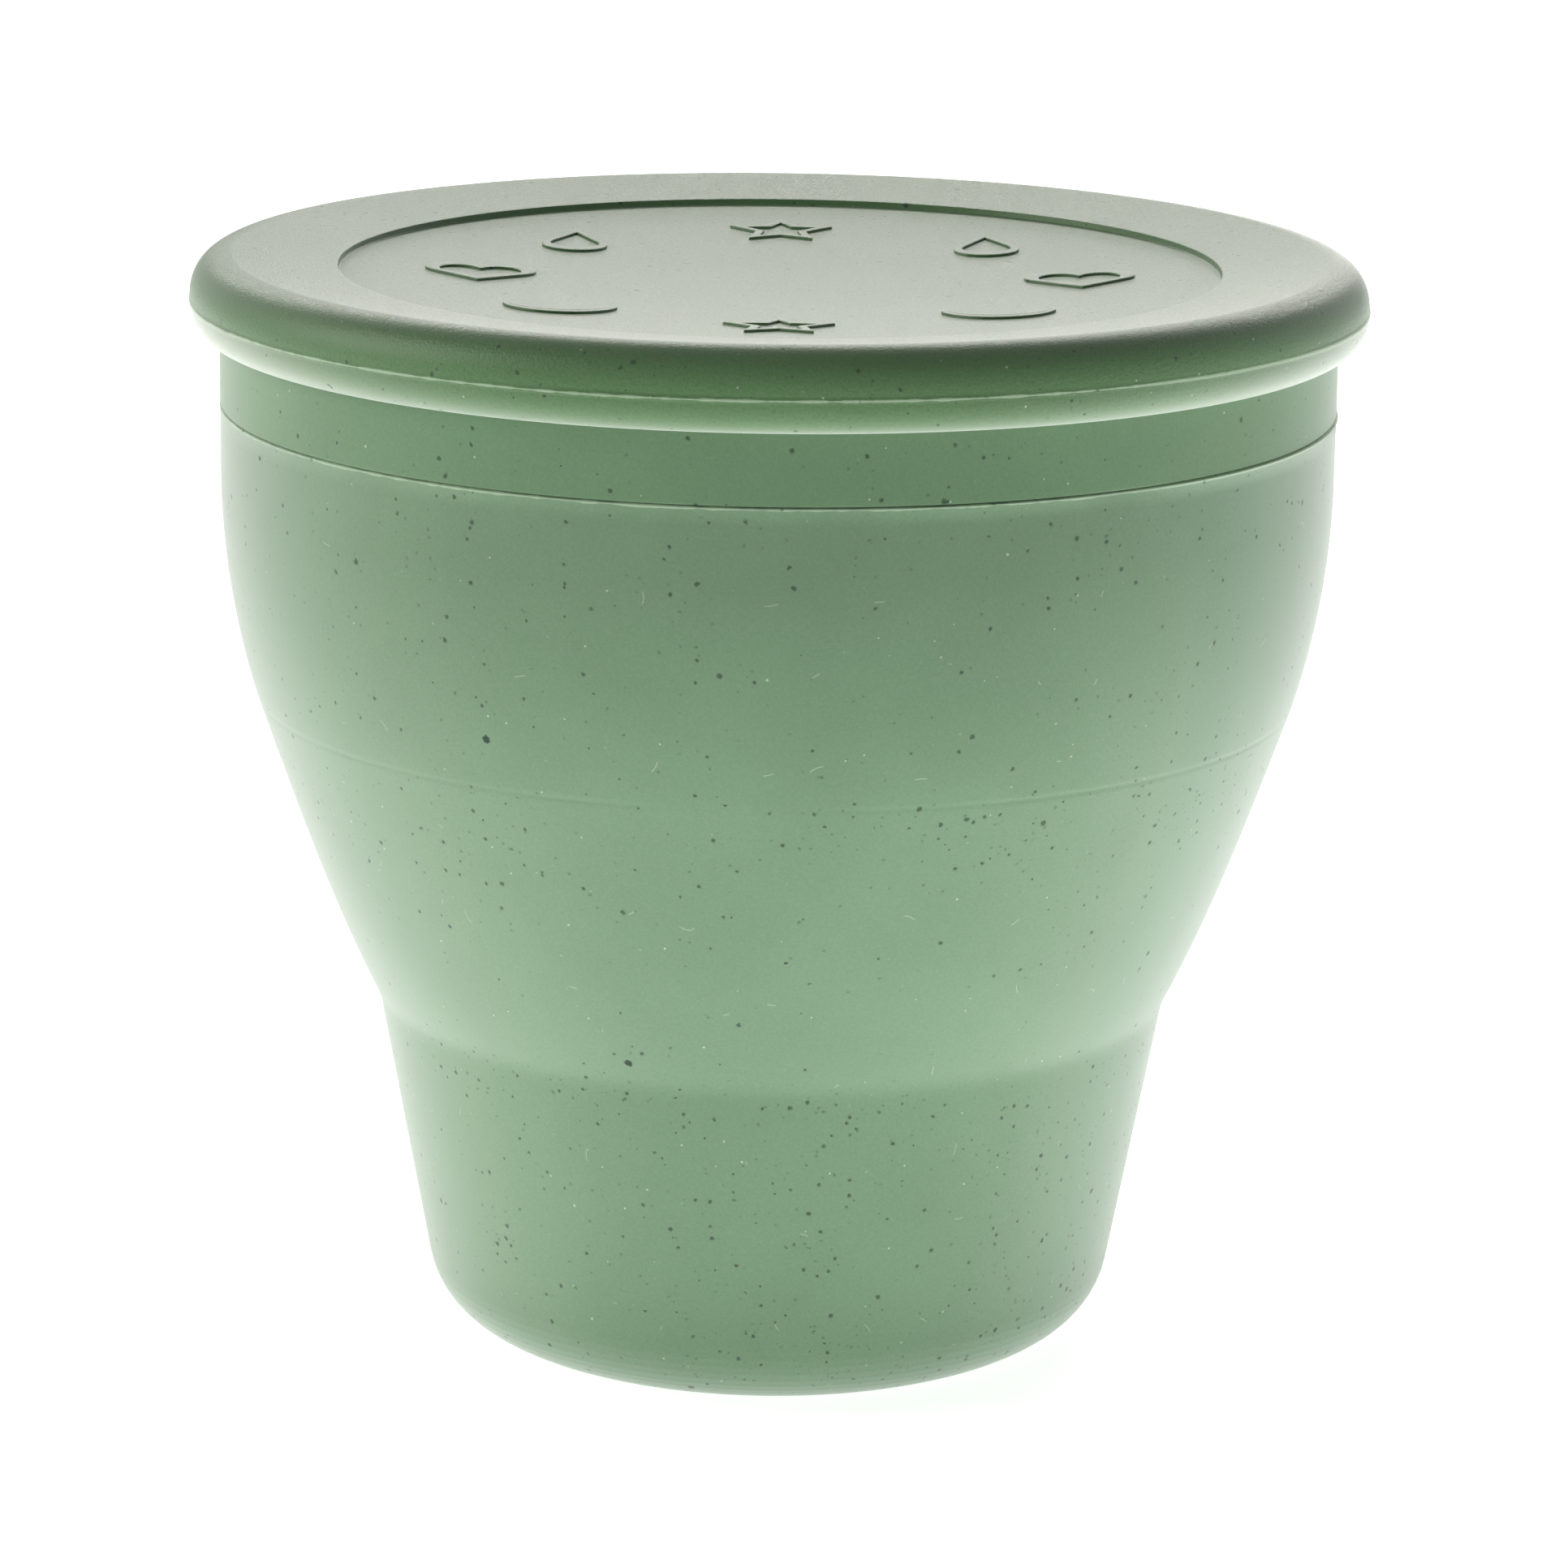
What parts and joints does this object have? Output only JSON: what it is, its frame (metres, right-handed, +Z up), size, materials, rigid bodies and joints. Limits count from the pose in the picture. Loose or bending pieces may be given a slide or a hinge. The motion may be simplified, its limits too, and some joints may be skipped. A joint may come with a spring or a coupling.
{
  "type": "snack container",
  "caption": "Round silicone snack cup that folds down on itself, with a snack lid of springy flaps and a thick round-edged cover.",
  "frame": {"origin": "middle of the foot, on the surface the cup stands on", "axes": "+Z up along the cup's own axis; -Y towards the picture's camera; +X to the right in the picture"},
  "size_m": [0.0962, 0.0962, 0.0904],
  "materials": {
    "cup_silicone": "matte sage green silicone with fine dark specks",
    "lid_silicone": "matte sage green silicone with fine dark specks",
    "cover_silicone": "matte sage green silicone with fine dark specks"
  },
  "bodies": {
    "base": {"cup_base": "cup_silicone"},
    "bowl": {"fold_band": "cup_silicone", "cup_bowl": "cup_silicone"},
    "snack_lid": {"snack_lid": "lid_silicone"},
    "petal_1": {"petal_1": "lid_silicone"},
    "petal_2": {"petal_2": "lid_silicone"},
    "petal_3": {"petal_3": "lid_silicone"},
    "petal_4": {"petal_4": "lid_silicone"},
    "petal_5": {"petal_5": "lid_silicone"},
    "petal_6": {"petal_6": "lid_silicone"},
    "petal_7": {"petal_7": "lid_silicone"},
    "petal_8": {"petal_8": "lid_silicone"},
    "cover": {"cover": "cover_silicone"}
  },
  "joints": [
    {"name": "cup_collapse", "type": "slide", "parent": "base", "child": "bowl", "axis": [0, 0, -1], "range_m": [0, 0.0494], "deforming": ["fold_band"]},
    {"name": "snack_lid_lift", "type": "slide", "parent": "bowl", "child": "snack_lid", "axis": [0, 0, 1], "range_m": [0, 0.03]},
    {"name": "cover_lift", "type": "slide", "parent": "snack_lid", "child": "cover", "axis": [0, 0, 1], "range_m": [0, 0.04]},
    {"name": "petal_1_bend", "type": "hinge", "parent": "snack_lid", "child": "petal_1", "pos_m": [0.025, 0, 0.0839], "axis": [0, -1, 0], "range_deg": [0, 65], "stiffness_Nm_per_rad": 0.01},
    {"name": "petal_2_bend", "type": "hinge", "parent": "snack_lid", "child": "petal_2", "pos_m": [0.01768, 0.01768, 0.0839], "axis": [0.7071, -0.7071, 0], "range_deg": [0, 65], "stiffness_Nm_per_rad": 0.01},
    {"name": "petal_3_bend", "type": "hinge", "parent": "snack_lid", "child": "petal_3", "pos_m": [0, 0.025, 0.0839], "axis": [1, 0, 0], "range_deg": [0, 65], "stiffness_Nm_per_rad": 0.01},
    {"name": "petal_4_bend", "type": "hinge", "parent": "snack_lid", "child": "petal_4", "pos_m": [-0.01768, 0.01768, 0.0839], "axis": [0.7071, 0.7071, 0], "range_deg": [0, 65], "stiffness_Nm_per_rad": 0.01},
    {"name": "petal_5_bend", "type": "hinge", "parent": "snack_lid", "child": "petal_5", "pos_m": [-0.025, 0, 0.0839], "axis": [0, 1, 0], "range_deg": [0, 65], "stiffness_Nm_per_rad": 0.01},
    {"name": "petal_6_bend", "type": "hinge", "parent": "snack_lid", "child": "petal_6", "pos_m": [-0.01768, -0.01768, 0.0839], "axis": [-0.7071, 0.7071, 0], "range_deg": [0, 65], "stiffness_Nm_per_rad": 0.01},
    {"name": "petal_7_bend", "type": "hinge", "parent": "snack_lid", "child": "petal_7", "pos_m": [0, -0.025, 0.0839], "axis": [-1, 0, 0], "range_deg": [0, 65], "stiffness_Nm_per_rad": 0.01},
    {"name": "petal_8_bend", "type": "hinge", "parent": "snack_lid", "child": "petal_8", "pos_m": [0.01768, -0.01768, 0.0839], "axis": [-0.7071, -0.7071, 0], "range_deg": [0, 65], "stiffness_Nm_per_rad": 0.01}
  ]
}
